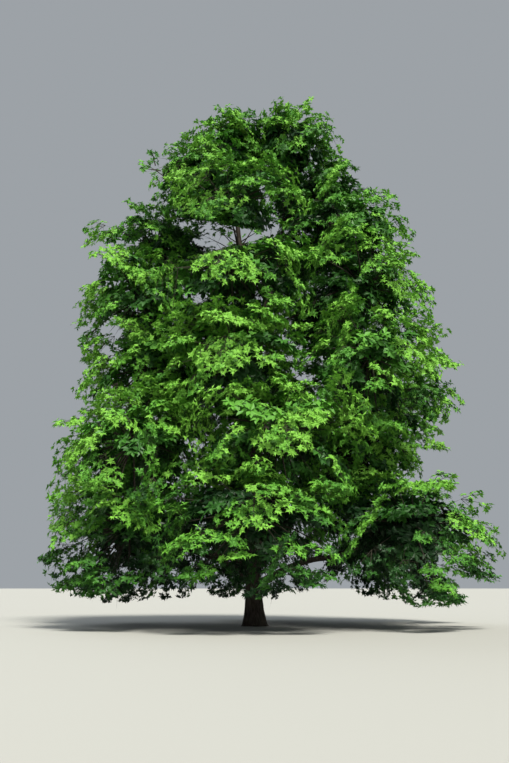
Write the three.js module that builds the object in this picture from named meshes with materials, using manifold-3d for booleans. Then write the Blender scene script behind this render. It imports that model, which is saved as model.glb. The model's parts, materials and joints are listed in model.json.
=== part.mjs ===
// An open-grown oak in full summer leaf: one trunk with a second leader, boughs in tiers, and a
// mass of leaf sprays at the end of each bough.
// Lengths are in millimetres, +Z is up, and the origin is the centre of the flat cut under the
// trunk. Azimuths are in degrees: 0 is +X, 90 is +Y, 270 is the side that faces -Y.
import * as THREE from "three";
import { mergeVertices } from "three/addons/utils/BufferGeometryUtils.js";
import Module from "manifold-3d";

const wasm = await Module();
wasm.setup();

// Gaps between neighbouring pieces.
const JOINT_GAP = 0.35; // between a limb and the limb or stem that grows from it
const SPACE_GAP = 40; // from each mass to the plane it shares with its neighbour
const LIMB_GAP = 40; // from a leaf or twig to a limb it passes
const LIMB_SPAN = 3600; // above and below a mass, how much of an upright limb it minds

// Trunk: a tapering stem with a root flare, leaning a little to -X as it rises.
const TRUNK_TOP = 20000;
const TRUNK_RADIUS = 362; // above the root flare
const TRUNK_TOP_RADIUS = 62;
const FLARE_RADIUS = 158; // added at the ground
const FLARE_HEIGHT = 560; // height in which the flare fades to a third
const FLARE_LOBES = 5;
const LOBE_DEPTH = 0.17; // share of the radius at the ground
const LOBE_TURN = 205;
const TRUNK_SIDES = 15;
const TRUNK_RINGS = [0, 130, 320, 600, 1000, 1600, 3000, 6000, 9200, 12500, 16000, 17400, TRUNK_TOP];
const TRUNK_LEAN = [
  [0, 0],
  [6000, -160],
  [12500, -430],
  [16000, -610],
  [17400, -760],
  [TRUNK_TOP, -590],
]; // height and offset along X

// Second leader: forks from the trunk and ends in the taller of the two tops.
const LEADER_FORK = 12100;
const LEADER_TOP = [1420, -60, 20050];
const LEADER_RADIUS = 165;
const LEADER_TOP_RADIUS = 58;

// Boughs: share of the parent's radius at the root, and taper to the tip.
const BOUGH_SHARE = 0.42;
const BOUGH_TAPER = 0.55;
const BOUGH_SIDES = 5;
const ROOT_SPREAD = 900; // the boughs of one tier leave the trunk within this height

// Tiers of boughs, each with one mass of foliage at its tip. reach is how far the tier
// stands out from the axis on the right (+X), back (+Y), left (-X) and front (-Y); depth,
// width and thick are the sizes of one mass along its bough, across it and up.
const TIERS = [
  {
    name: "skirt", count: 6, turn: 30, height: 3950, root: 1500, droop: 7,
    reach: [10700, 9500, 8800, 9300], depth: 7200, width: 8000, thick: 5200,
  },
  {
    name: "low", count: 6, turn: 38, height: 7150, root: 4300, droop: 15,
    reach: [7700, 8800, 9600, 9100], depth: 7000, width: 7800, thick: 5200,
  },
  {
    name: "middle", count: 6, turn: 20, height: 10450, root: 7800, droop: 18,
    reach: [10200, 8300, 8000, 7900], depth: 6700, width: 7500, thick: 5100,
  },
  {
    name: "high", count: 5, turn: -30, height: 13700, root: 11300, droop: 18,
    reach: [8500, 7600, 8100, 7300], depth: 6400, width: 7900, thick: 5000,
  },
  {
    name: "upper", count: 4, turn: 342, height: 16750, root: 14600, droop: 20,
    reach: [7150, 6500, 7800, 6400], depth: 6200, width: 7800, thick: 4900,
  },
];

// The four masses of the top, which grow straight from the trunk or the second leader. out is
// the way each of them points, and size is measured along it, across it and square to both.
const TOPS = [
  {
    name: "shoulder_foliage_left", parent: "trunk", root: 17700,
    centre: [-2500, -1500, 18800], out: [-0.77, -0.64, -0.3], size: [5500, 6500, 4800],
  },
  {
    name: "shoulder_foliage_right", parent: "second_leader", root: 17900,
    centre: [3000, 1300, 19300], out: [0.77, 0.64, -0.3], size: [5200, 6700, 4900],
  },
  {
    name: "top_foliage_left", parent: "trunk", root: TRUNK_TOP,
    centre: [-1250, 0, 21000], out: [0, 0, 1], size: [5000, 4900, 4600],
  },
  {
    name: "top_foliage_right", parent: "second_leader", root: LEADER_TOP[2],
    centre: [1750, -60, 21150], out: [0, 0, 1], size: [5200, 4900, 4900],
  },
];

// Straight openings through the crown along the line of view from EYE, each given by where it
// crosses the plane of the trunk.
const EYE = [0, -40200, 1600];
const OPENINGS = [{ x: -1350, z: 16950, radius: 450 }];

// Foliage of one mass.
const FULLNESS = 3; // 2 is an ellipsoid, more fills the corners of its box
const TOP_FULLNESS = 2; // of the masses of the top
const CORE_SHARE = [0.76, 0.86, 0.76]; // the dense middle against the space: out, across, up
const CORE_BACK = 0.6; // the same share on the side that faces the trunk
const CORE_ROUGHNESS = 0.1;
const TWIG_SPACE = 2950; // one twig for each square of this size on the face of a mass
const FEWEST_TWIGS = 7;
const TWIG_RADIUS = 84;
const TWIG_TIP_RADIUS = 66;
const SPRAY_LENGTH = 2150;
const SPRAY_WIDTH = 0.7; // of its length
const SPRAY_THICKNESS = 0.04; // of its length
const SIDE_SPRAY = 0.88; // of the end spray
const SIDE_ANGLE = 52;
const SPRAY_SLOPE = 0.5; // how far a spray leans over from straight out, 1 being half way
const SUNK = 60; // how far the root of an end spray lies inside its twig
const SPRAY_STEP = 90; // along the twig from one spray to the next
const RESEEDED = { middle_foliage_3: 10, middle_foliage_5: 10 }; // masses that take later draws
const SLIVERS = [12, 6, 2]; // how far fused faces may move to drop slivers: the first that closes

const BARK = { color: 0x2b2620, roughness: 0.93, metalness: 0 };
const LEAF_TINTS = [0x3c6420, 0x4a7628, 0x55862c, 0x3f6c26, 0x5d8f33];
const LEAF_ROUGHNESS = 0.62;

const DEG = Math.PI / 180;
const GOLDEN_ANGLE = Math.PI * (3 - Math.sqrt(5));
const UP = new THREE.Vector3(0, 0, 1);

// Repeatable numbers from 0 to 1.
function seeded(seed) {
  let state = seed >>> 0;
  return () => {
    state = (state + 0x6d2b79f5) >>> 0;
    let t = state;
    t = Math.imul(t ^ (t >>> 15), t | 1);
    t ^= t + Math.imul(t ^ (t >>> 7), t | 61);
    return ((t ^ (t >>> 14)) >>> 0) / 4294967296;
  };
}

const vec = (x, y, z) => new THREE.Vector3(x, y, z);
const along = (a, b, t) => a.clone().lerp(b, t);
const mix = (a, b, t) => a + (b - a) * t;

// Value of a table of [position, value] rows, in straight lines between them.
function between(table, at) {
  const last = table.length - 1;
  if (at <= table[0][0]) return table[0][1];
  if (at >= table[last][0]) return table[last][1];
  const k = table.findIndex((row) => row[0] > at);
  const [x0, y0] = table[k - 1];
  const [x1, y1] = table[k];
  return mix(y0, y1, (at - x0) / (x1 - x0));
}

// A closed solid from a flat list of coordinates and a flat list of corner numbers.
function solid(positions, corners) {
  const mesh = new wasm.Mesh({
    numProp: 3,
    vertProperties: new Float32Array(positions),
    triVerts: new Uint32Array(corners),
  });
  return new wasm.Manifold(mesh);
}

// Two directions square to a direction, the second as near to reference as it can be.
function frameOf(direction, reference) {
  const across = reference.clone().cross(direction);
  if (across.lengthSq() < 1e-6) across.set(1, 0, 0).cross(direction);
  across.normalize();
  return [across, direction.clone().cross(across)];
}

// The way a limb runs at one of its points; start and finish set it at the ends.
function directionAt({ points, start, finish, level }, k) {
  const last = points.length - 1;
  if (level) return UP.clone();
  if (k === 0 && start) return start;
  if (k === last && finish) return finish;
  return points[Math.min(k + 1, last)].clone().sub(points[Math.max(k - 1, 0)]).normalize();
}

// A limb through points with a radius at each; grow widens and lengthens it evenly.
// shape(angle, k) gives the share of the radius at an angle on ring k.
function tube(limb, grow = 0) {
  const { points, radii, sides, reference = UP, shape = () => 1 } = limb;
  const last = points.length - 1;
  const positions = [];
  const spine = points.map((p, k) => {
    const past = k === 0 ? -grow : k === last ? grow : 0;
    return p.clone().addScaledVector(directionAt(limb, k), past);
  });
  spine.forEach((p, k) => {
    const [a, b] = frameOf(directionAt(limb, k), reference);
    for (let j = 0; j < sides; j += 1) {
      const angle = (2 * Math.PI * j) / sides;
      const r = radii[k] * shape(angle, k) + grow;
      const v = p.clone().addScaledVector(a, r * Math.cos(angle));
      v.addScaledVector(b, r * Math.sin(angle));
      positions.push(v.x, v.y, v.z);
    }
  });
  positions.push(...spine[0].toArray(), ...spine[last].toArray());
  return solid(positions, tubeCorners(points.length, sides));
}

function tubeCorners(rings, sides) {
  const corners = [];
  const foot = rings * sides;
  for (let k = 0; k < rings - 1; k += 1) {
    for (let j = 0; j < sides; j += 1) {
      const a = k * sides + j;
      const b = k * sides + ((j + 1) % sides);
      corners.push(a, b, b + sides, a, b + sides, a + sides);
    }
  }
  for (let j = 0; j < sides; j += 1) {
    const next = (j + 1) % sides;
    const top = (rings - 1) * sides;
    corners.push(foot, next, j, foot + 1, top + j, top + next);
  }
  return corners;
}

// Trunk axis and radius at a height.
const trunkAt = (z) => vec(between(TRUNK_LEAN, z), 0, z);
const trunkFlare = (z) => Math.exp(-z / FLARE_HEIGHT);
function trunkRadius(z) {
  const taper = mix(TRUNK_RADIUS, TRUNK_TOP_RADIUS, z / TRUNK_TOP);
  return taper + FLARE_RADIUS * trunkFlare(z);
}

function trunkLimb() {
  const points = TRUNK_RINGS.map(trunkAt);
  const lobe = (angle, k) => {
    const wave = Math.cos(FLARE_LOBES * (angle - LOBE_TURN * DEG));
    return 1 + LOBE_DEPTH * trunkFlare(TRUNK_RINGS[k]) * wave;
  };
  return {
    name: "trunk",
    points,
    radii: TRUNK_RINGS.map(trunkRadius),
    sides: TRUNK_SIDES,
    reference: vec(0, 1, 0),
    shape: lobe,
    level: true,
  };
}

// Points on a cubic curve.
function curve(a, b, c, d, count) {
  const path = new THREE.CubicBezierCurve3(a, b, c, d);
  return path.getPoints(count);
}

function leaderLimb() {
  const foot = trunkAt(LEADER_FORK);
  const top = vec(...LEADER_TOP);
  const leaving = vec(foot.x + 900, 0, foot.z + 1300);
  const rising = vec(top.x - 100, top.y, top.z - 5500);
  const points = curve(foot, leaving, rising, top, 6);
  const radii = points.map((p, k) => mix(LEADER_RADIUS, LEADER_TOP_RADIUS, k / 6));
  return { name: "second_leader", points, radii, sides: 8, reference: vec(0, 1, 0) };
}

// Point and radius of a limb at a height.
function limbAt(limb, z) {
  const k = Math.max(1, limb.points.findIndex((p) => p.z >= z));
  const [low, high] = [limb.points[k - 1], limb.points[k]];
  const t = THREE.MathUtils.clamp((z - low.z) / (high.z - low.z), 0, 1);
  return { point: along(low, high, t), radius: mix(limb.radii[k - 1], limb.radii[k], t) };
}

// How far a tier reaches at an azimuth, from its four side values.
function reachAt([right, back, left, front], azimuth) {
  const c = Math.cos(azimuth);
  const s = Math.sin(azimuth);
  return c * c * (c > 0 ? right : left) + s * s * (s > 0 ? back : front);
}

// The rounded space that one mass of a tier fills, and where its bough leaves the parent.
function tierMass(tier, index, limbs) {
  const chance = seeded(1000 * TIERS.indexOf(tier) + index + 1);
  const azimuth = (tier.turn + (360 * index) / tier.count) * DEG;
  const out = vec(Math.cos(azimuth), Math.sin(azimuth), 0);
  const reach = reachAt(tier.reach, azimuth) * mix(0.985, 1.015, chance());
  const height = tier.height + mix(-220, 220, chance());
  const root = tier.root + ROOT_SPREAD * ((index * 0.618) % 1);
  const fromLeader = root > LEADER_FORK + 1500 && out.x > 0.3;
  const parent = fromLeader ? limbs.second_leader : limbs.trunk;
  const across = UP.clone().cross(out);
  const outward = out.clone().applyAxisAngle(across, tier.droop * DEG);
  const name = `${tier.name}_foliage_${index + 1}`;
  return {
    name,
    boughName: `${tier.name}_bough_${index + 1}`,
    centre: out.clone().multiplyScalar(reach - tier.depth / 2).setZ(height),
    axes: [outward, across, outward.clone().cross(across)],
    radii: [tier.depth / 2, tier.width / 2, tier.thick / 2],
    fullness: FULLNESS,
    seed: 5000 + 100 * TIERS.indexOf(tier) + index + (RESEEDED[name] ?? 0),
    parent,
    root,
    planes: [],
  };
}

function topMass(top, index, limbs) {
  const outward = vec(...top.out).normalize();
  const atTip = outward.z === 1;
  const across = atTip ? vec(1, 0, 0) : UP.clone().cross(outward).normalize();
  return {
    name: top.name,
    centre: vec(...top.centre),
    axes: [outward, across, outward.clone().cross(across)],
    radii: top.size.map((size) => size / 2),
    fullness: TOP_FULLNESS,
    seed: 9010 + index,
    parent: limbs[top.parent],
    root: top.root,
    atTip,
    planes: [],
  };
}

// Distance from the centre of a rounded mass to its surface along a direction.
function surfaceAlong(mass, direction) {
  const parts = mass.axes.map((axis, k) => Math.abs(axis.dot(direction)) / mass.radii[k]);
  return parts.reduce((sum, part) => sum + part ** mass.fullness, 0) ** (-1 / mass.fullness);
}

// Each pair of neighbouring masses shares a plane, and each keeps clear of it on its own side.
function shareSpace(a, b) {
  const line = b.centre.clone().sub(a.centre);
  const distance = line.length();
  line.divideScalar(distance);
  const ra = surfaceAlong(a, line);
  const rb = surfaceAlong(b, line);
  if (ra + rb < 0.7 * distance) return;
  const at = a.centre.clone().addScaledVector(line, (distance * ra) / (ra + rb));
  a.planes.push({ normal: line.clone(), offset: line.dot(at) - SPACE_GAP });
  b.planes.push({ normal: line.clone().negate(), offset: -line.dot(at) - SPACE_GAP });
}

// Keeps a mass clear of an upright limb that runs past it.
function keepFromLimb(mass, limb) {
  const rings = limb.points.map((point, k) => ({ point, radius: limb.radii[k] }));
  const near = rings.filter(({ point }) => Math.abs(point.z - mass.centre.z) < mass.radii[2] + LIMB_SPAN);
  const away = limbAt(limb, mass.centre.z).point.clone().sub(mass.centre).setZ(0);
  if (!near.length || away.length() < 300) return;
  away.normalize();
  const offset = Math.min(...near.map(({ point, radius }) => away.dot(point) - radius));
  mass.planes.push({ normal: away, offset: offset - LIMB_GAP });
}

// Keeps a mass clear of an opening through the crown.
function keepFromOpening(mass, opening) {
  const eye = vec(...EYE);
  const line = vec(opening.x, 0, opening.z).sub(eye).normalize();
  const nearest = eye.addScaledVector(line, mass.centre.clone().sub(eye).dot(line));
  const away = nearest.clone().sub(mass.centre);
  const distance = away.length();
  away.divideScalar(distance);
  if (distance - opening.radius > surfaceAlong(mass, away)) return;
  mass.planes.push({ normal: away, offset: away.dot(nearest) - opening.radius });
}

// Distance from the centre of a mass to the edge of its space along a direction.
function spaceAlong(mass, direction) {
  let distance = surfaceAlong(mass, direction);
  mass.planes.forEach(({ normal, offset }) => {
    const rate = normal.dot(direction);
    if (rate > 1e-6) distance = Math.min(distance, (offset - normal.dot(mass.centre)) / rate);
  });
  return distance;
}

function inSpace(mass, point) {
  const from = point.clone().sub(mass.centre);
  const distance = from.length();
  return distance < 1 || distance <= spaceAlong(mass, from.divideScalar(distance));
}

// Shortest distance between segments a-b and c-d.
function segmentGap(a, b, c, d) {
  const u = b.clone().sub(a);
  const v = d.clone().sub(c);
  const w = a.clone().sub(c);
  const [uu, uv, vv, uw, vw] = [u.dot(u), u.dot(v), v.dot(v), u.dot(w), v.dot(w)];
  const bottom = uu * vv - uv * uv;
  const clamp = (x) => THREE.MathUtils.clamp(x, 0, 1);
  const s = bottom > 1e-9 ? clamp((uv * vw - vv * uw) / bottom) : 0;
  const t = clamp((uv * s + vw) / vv);
  const again = clamp((uv * t - uw) / uu);
  return along(a, b, again).distanceTo(along(c, d, t));
}

function clearOfLimbs(limbs, from, to, halfThickness) {
  return limbs.every((limb) =>
    limb.points.slice(1).every((p, k) => {
      const wide = Math.max(limb.radii[k], limb.radii[k + 1]);
      return segmentGap(from, to, limb.points[k], p) > wide + halfThickness + LIMB_GAP;
    }),
  );
}

// Where the bough, or the stem, enters the space of a mass.
function entryOf(mass) {
  const foot = limbAt(mass.parent, mass.root).point;
  const inward = foot.clone().sub(mass.centre).setZ(0).normalize();
  inward.multiplyScalar(0.96).addScaledVector(UP, -0.28).normalize();
  return mass.centre.clone().addScaledVector(inward, 0.97 * spaceAlong(mass, inward));
}

function boughLimb(mass) {
  const { point: foot, radius } = limbAt(mass.parent, mass.root);
  const entry = entryOf(mass);
  const run = entry.clone().sub(foot);
  const flat = run.clone().setZ(0);
  const rise = vec(flat.x * 0.35, flat.y * 0.35, run.z * 0.55);
  const settle = vec(flat.x * 0.72, flat.y * 0.72, run.z * 0.98);
  const points = curve(foot, foot.clone().add(rise), foot.clone().add(settle), entry, 3);
  const base = Math.max(radius * BOUGH_SHARE, 55);
  const radii = points.map((p, k) => mix(base, base * BOUGH_TAPER, k / 3));
  return { name: mass.boughName, points, radii, sides: BOUGH_SIDES };
}

// The stem of a mass goes on from its bough, or leaves the parent directly.
function stemLimb(mass, bough) {
  const outward = mass.axes[0];
  const end = mass.centre.clone().addScaledVector(outward, 0.45 * spaceAlong(mass, outward));
  const base = bough ?? mass.parent;
  const last = base.points.length - 1;
  const onTip = bough || mass.atTip;
  const side = limbAt(base, mass.root);
  const from = onTip ? base.points[last].clone() : side.point;
  const radius = 0.97 * (onTip ? base.radii[last] : Math.max(side.radius * BOUGH_SHARE, 50));
  const start = onTip ? endDirection(base) : outward.clone();
  if (onTip) from.addScaledVector(start, JOINT_GAP);
  const points = [from, from.clone().addScaledVector(start, 320), along(mass.centre, end, 0.1), end];
  const radii = [radius, radius * 0.94, radius * 0.8, radius * 0.5];
  return { points, radii, sides: 4, start, reference: onTip ? base.reference : UP };
}

function endDirection(limb) {
  const [a, b] = limb.points.slice(-2);
  return limb.level ? UP.clone() : b.clone().sub(a).normalize();
}

// A spray of leaves as one thin pointed blade, flat below and ridged above.
function spray(root, tip, normal, width) {
  const run = tip.clone().sub(root);
  const length = run.length();
  const across = normal.clone().cross(run).normalize();
  const face = run.clone().cross(across).normalize();
  const wide = along(root, tip, 0.56);
  const thick = along(root, tip, 0.42);
  const corners = [
    root,
    tip,
    wide.clone().addScaledVector(across, width / 2),
    wide.clone().addScaledVector(across, -width / 2),
    thick.clone().addScaledVector(face, SPRAY_THICKNESS * length),
  ];
  const positions = corners.flatMap((p) => p.toArray());
  const faces = [0, 3, 4, 3, 1, 4, 1, 2, 4, 2, 0, 4, 0, 2, 3, 2, 1, 3];
  const made = solid(positions, faces);
  return { made, corners };
}

function twigCount({ radii: [depth, width, thick] }) {
  const face = 2 * (width * thick + 0.5 * depth * (width + thick));
  return Math.max(FEWEST_TWIGS, Math.round(face / TWIG_SPACE ** 2));
}

// Directions in which the twigs of a mass grow: spread evenly from its outward axis back.
function twigDirections(mass) {
  const chance = seeded(mass.seed);
  const spread = 1.3;
  const count = twigCount(mass);
  return Array.from({ length: count }, (unused, k) => {
    const forward = 1 - (spread * k) / (count - 1);
    const round = k * GOLDEN_ANGLE + mix(-0.25, 0.25, chance()) + mass.seed;
    const roll = mix(-0.45, 0.45, chance());
    const side = Math.sqrt(Math.max(0, 1 - forward * forward));
    const parts = [forward, side * Math.cos(round), side * Math.sin(round)];
    const direction = vec(0, 0, 0);
    mass.axes.forEach((axis, j) => direction.addScaledVector(axis, parts[j] * mass.radii[j]));
    return { direction: direction.normalize(), roll };
  });
}

// A spray leans over from the direction of its twig, outwards above and downwards at the side.
function sprayHeading(mass, direction) {
  const flat = mass.centre.clone().setZ(0).normalize();
  const lean = flat.multiplyScalar(0.8).addScaledVector(UP, -0.6);
  lean.addScaledVector(direction, -lean.dot(direction)).normalize();
  return direction.clone().addScaledVector(lean, SPRAY_SLOPE).normalize();
}

// One twig with its end spray and two side sprays, each kept only where it fits.
function twig(mass, stem, { direction, roll }, limbs) {
  const reach = spaceAlong(mass, direction);
  const tip = mass.centre.clone().addScaledVector(direction, 0.985 * reach);
  const heading = sprayHeading(mass, direction);
  const length = Math.min(SPRAY_LENGTH, 0.75 * reach);
  const end = tip.clone().addScaledVector(heading, -length);
  const from = stem.points[2].clone();
  const pieces = [];
  if (!inSpace(mass, end) || !clearOfLimbs(limbs, from, end, TWIG_RADIUS)) return pieces;
  const face = frameOf(heading, direction)[1].applyAxisAngle(heading, roll);
  const back = from.clone().sub(end).normalize();
  const radii = [TWIG_RADIUS, TWIG_TIP_RADIUS];
  const reference = face.clone().cross(back);
  pieces.push(tube({ points: [from, end], radii, sides: 3, reference, finish: heading }));
  [0, SIDE_ANGLE * DEG, -SIDE_ANGLE * DEG].forEach((turn, k) => {
    const toward = heading.clone().applyAxisAngle(face, turn);
    const root = end.clone().addScaledVector(back, SUNK + SPRAY_STEP * k);
    const full = k === 0 ? length : SIDE_SPRAY * SPRAY_LENGTH;
    const blade = fittingSpray(mass, root, toward, face, full, limbs);
    if (blade) pieces.push(blade);
  });
  return pieces;
}

function fittingSpray(mass, root, toward, face, full, limbs) {
  for (const share of [1, 0.88, 0.76, 0.64]) {
    const length = (full + SUNK) * share;
    const tip = root.clone().addScaledVector(toward, length);
    const { made, corners } = spray(root, tip, face, SPRAY_WIDTH * length);
    const [a, b, left, right] = corners;
    const clear = clearOfLimbs(limbs, a, b, 40) && clearOfLimbs(limbs, left, right, 40);
    if (clear && corners.every((p) => inSpace(mass, p))) return made;
  }
  return null;
}

// The dense middle of a mass, uneven and of its own space's shape.
function core(mass) {
  const ball = new THREE.DodecahedronGeometry(1, 0);
  ball.deleteAttribute("normal");
  ball.deleteAttribute("uv");
  const closed = mergeVertices(ball);
  const chance = seeded(mass.seed + 77);
  const places = closed.attributes.position;
  const positions = [];
  for (let k = 0; k < places.count; k += 1) {
    const unit = new THREE.Vector3().fromBufferAttribute(places, k);
    const direction = vec(0, 0, 0);
    const parts = unit.toArray();
    mass.axes.forEach((axis, j) => direction.addScaledVector(axis, parts[j] * mass.radii[j]));
    direction.normalize();
    const shares = [unit.x > 0 ? CORE_SHARE[0] : CORE_BACK, CORE_SHARE[1], CORE_SHARE[2]];
    const even = parts.reduce((sum, part, j) => sum + part * part * shares[j], 0);
    const share = even * (1 + CORE_ROUGHNESS * (2 * chance() - 1)) * spaceAlong(mass, direction);
    positions.push(...mass.centre.clone().addScaledVector(direction, share).toArray());
  }
  return solid(positions, Array.from(closed.index.array));
}

// The largest body of a solid, with any sealed hollow filled.
function largestBody(made) {
  const bodies = made.decompose();
  return bodies.reduce((best, body) => (body.volume() > best.volume() ? body : best));
}

// Whether a solid is still one body, with two faces at each edge, once corners closer than a
// micrometre are one.
function staysClosed(made) {
  const merged = mergeVertices(geometryOf(made), 1e-3);
  const corners = merged.index.array;
  if (solid(merged.attributes.position.array, corners).decompose().length !== 1) return false;
  const faces = new Map();
  for (let k = 0; k < corners.length; k += 3) {
    const [a, b, c] = corners.subarray(k, k + 3);
    if (a === b || b === c || c === a) continue;
    [[a, b], [b, c], [c, a]].forEach((pair) => {
      const edge = `${Math.min(...pair)} ${Math.max(...pair)}`;
      faces.set(edge, (faces.get(edge) ?? 0) + 1);
    });
  }
  return [...faces.values()].every((count) => count === 2);
}

// One mass, fused and with its slivers dropped. Where that pinches it, fewer slivers go, and where
// leaves touch along an edge, one twig does.
function massSolid(mass, bough, limbs, grownParents) {
  const stem = stemLimb(mass, bough);
  const twigs = twigDirections(mass).map((way) => twig(mass, stem, way, limbs));
  const parents = bough ? [] : grownParents;
  for (let skipped = twigs.length; skipped >= 0; skipped -= 1) {
    const pieces = [core(mass), tube(stem), ...twigs.filter((made, k) => k !== skipped).flat()];
    const whole = pieces.reduce((fused, piece) => fused.add(piece));
    for (const sliver of SLIVERS) {
      const cut = parents.reduce((left, parent) => left.subtract(parent), whole.simplify(sliver));
      const made = largestBody(cut);
      if (staysClosed(made)) return made;
    }
  }
  throw new Error(`${mass.name} does not close`);
}

function geometryOf(made) {
  const { vertProperties, triVerts } = made.getMesh();
  const geometry = new THREE.BufferGeometry();
  geometry.setAttribute("position", new THREE.BufferAttribute(new Float32Array(vertProperties), 3));
  geometry.setIndex(new THREE.BufferAttribute(new Uint32Array(triVerts), 1));
  return geometry;
}

function meshOf(name, made, finish) {
  const geometry = geometryOf(made);
  geometry.computeVertexNormals();
  const mesh = new THREE.Mesh(geometry, new THREE.MeshStandardMaterial(finish));
  mesh.name = name;
  return mesh;
}

function layout() {
  const limbs = { trunk: trunkLimb(), second_leader: leaderLimb() };
  const tierMasses = TIERS.flatMap((tier) =>
    Array.from({ length: tier.count }, (unused, index) => tierMass(tier, index, limbs)),
  );
  const masses = [...tierMasses, ...TOPS.map((top, index) => topMass(top, index, limbs))];
  masses.forEach((a, i) => masses.slice(i + 1).forEach((b) => shareSpace(a, b)));
  masses.forEach((mass) => {
    if (!mass.atTip) Object.values(limbs).forEach((limb) => keepFromLimb(mass, limb));
    OPENINGS.forEach((opening) => keepFromOpening(mass, opening));
  });
  return { limbs, masses };
}

function buildTree() {
  const { limbs, masses } = layout();
  const tree = new THREE.Group();
  tree.name = "oak_tree";
  const trunkGrown = tube(limbs.trunk, JOINT_GAP);
  const leaderGrown = tube(limbs.second_leader, JOINT_GAP);
  tree.add(meshOf("trunk", tube(limbs.trunk), BARK));
  const leader = largestBody(tube(limbs.second_leader).subtract(trunkGrown));
  tree.add(meshOf("second_leader", leader, BARK));
  const boughs = new Map();
  masses.filter((mass) => mass.boughName).forEach((mass) => boughs.set(mass, boughLimb(mass)));
  boughs.forEach((limb) => {
    const made = largestBody(tube(limb).subtract(trunkGrown).subtract(leaderGrown));
    tree.add(meshOf(limb.name, made, BARK));
  });
  const allLimbs = [...Object.values(limbs), ...boughs.values()];
  masses.forEach((mass, k) => {
    const made = massSolid(mass, boughs.get(mass), allLimbs, [trunkGrown, leaderGrown]);
    const color = LEAF_TINTS[k % LEAF_TINTS.length];
    tree.add(meshOf(mass.name, made, { color, roughness: LEAF_ROUGHNESS, metalness: 0 }));
  });
  return tree;
}

export default buildTree();
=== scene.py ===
# %% [markdown]
# An open-grown oak in full summer leaf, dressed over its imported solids.
# Nobody could place the leaves of a real crown by hand, and scattered over a surface they would
# float. So this crown is grown: the rule that placed the boughs and masses of the solids is
# written again and carried on to branches, sprays, rosettes and single leaves. Lengths are in
# metres and +Z is up.

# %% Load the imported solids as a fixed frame
import json
import math

import bpy
import numpy as np
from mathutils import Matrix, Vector, noise

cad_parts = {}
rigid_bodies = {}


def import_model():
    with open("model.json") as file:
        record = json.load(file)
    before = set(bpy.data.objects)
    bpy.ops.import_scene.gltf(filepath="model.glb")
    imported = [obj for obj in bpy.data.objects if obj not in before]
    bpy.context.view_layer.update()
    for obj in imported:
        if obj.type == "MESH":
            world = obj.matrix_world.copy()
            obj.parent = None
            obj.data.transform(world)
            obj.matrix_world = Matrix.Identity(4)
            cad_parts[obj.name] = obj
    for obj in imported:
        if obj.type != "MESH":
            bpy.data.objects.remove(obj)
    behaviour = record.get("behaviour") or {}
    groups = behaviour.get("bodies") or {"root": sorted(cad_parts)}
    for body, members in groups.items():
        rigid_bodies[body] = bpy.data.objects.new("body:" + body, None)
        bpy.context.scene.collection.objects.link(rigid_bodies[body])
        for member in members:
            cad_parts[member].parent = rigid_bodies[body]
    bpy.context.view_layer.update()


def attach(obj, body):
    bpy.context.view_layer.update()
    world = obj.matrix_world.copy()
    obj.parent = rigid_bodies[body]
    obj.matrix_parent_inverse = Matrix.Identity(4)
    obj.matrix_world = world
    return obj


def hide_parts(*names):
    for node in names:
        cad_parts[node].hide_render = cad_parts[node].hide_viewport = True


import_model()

# %% [markdown]
# The camera stands at eye height in open ground, 40 m from the trunk, and is tilted up so that
# the foot and both tops are in the frame. It comes first because the openings through the crown
# lie along its lines of sight.

# %% Camera
EYE = np.array([0.0, -40.2, 1.6])
TILT = math.radians(12.15)
FRAME_WIDTH, FRAME_HEIGHT = 509, 763  # pixels
FOCAL = 950  # focal length in pixels
SENSOR = 36.0
FAR_CLIP = 1500

camera_data = bpy.data.cameras.new("camera")
camera_data.sensor_fit = "VERTICAL"
camera_data.sensor_height = SENSOR
camera_data.lens = SENSOR * FOCAL / FRAME_HEIGHT
camera_data.clip_end = FAR_CLIP
camera = bpy.data.objects.new("camera", camera_data)
camera.location = EYE
camera.rotation_euler = (math.pi / 2 + TILT, 0, 0)
bpy.context.collection.objects.link(camera)
bpy.context.scene.camera = camera
print("lens", round(camera_data.lens, 2), "mm")

# %% [markdown]
# What changes over a surface is worked out by nodes. A small class gives a node's output the
# ordinary signs of arithmetic, and one method adds any other node. What is the same all over is
# set on the surface itself.

# %% A small shader language


class Field:
    """An output of a shader node. Each sign of arithmetic adds one Math node."""

    def __init__(self, finish, socket):
        self.finish = finish
        self.socket = socket

    def math(self, operation, first, second):
        return self.finish.node("ShaderNodeMath", {"operation": operation}, {0: first, 1: second})

    def __add__(self, other):
        return self.math("ADD", self, other)

    def __sub__(self, other):
        return self.math("SUBTRACT", self, other)

    def __rsub__(self, other):
        return self.math("SUBTRACT", other, self)

    def __mul__(self, other):
        return self.math("MULTIPLY", self, other)

    __radd__ = __add__
    __rmul__ = __mul__


class Finish:
    """A material and its nodes."""

    def __init__(self, name, **plain):
        self.material = bpy.data.materials.new(name)
        self.material.use_nodes = True
        self.tree = self.material.node_tree
        self.surface = self.tree.nodes["Principled BSDF"]
        self.set(**plain)

    def node(self, kind, settings=None, sockets=None, output=0):
        made = self.tree.nodes.new(kind)
        for key, value in (settings or {}).items():
            setattr(made, key, value)
        for key, value in (sockets or {}).items():
            self.put(made.inputs[key], value)
        return Field(self, made.outputs[output])

    def put(self, socket, value):
        if isinstance(value, Field):
            self.tree.links.new(value.socket, socket)
        else:
            socket.default_value = value

    def blend(self, share, first, second):
        """A colour between two colours, by a share from 0 to 1."""
        sockets = {0: share, 6: first, 7: second}
        return self.node("ShaderNodeMix", {"data_type": "RGBA"}, sockets, output=2)

    def set(self, **fields):
        for socket, field in fields.items():
            self.put(self.surface.inputs[socket.replace("_", " ")], field)


print("shader fields ready")

# %% [markdown]
# A bright, hazy day in a studio's terms: one broad soft light high on the right of the camera, a
# weak one behind, and an even pale surround. High light gives an oak its bright plates of leaves
# with dark gaps under them, so the surround stays weak.

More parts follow.
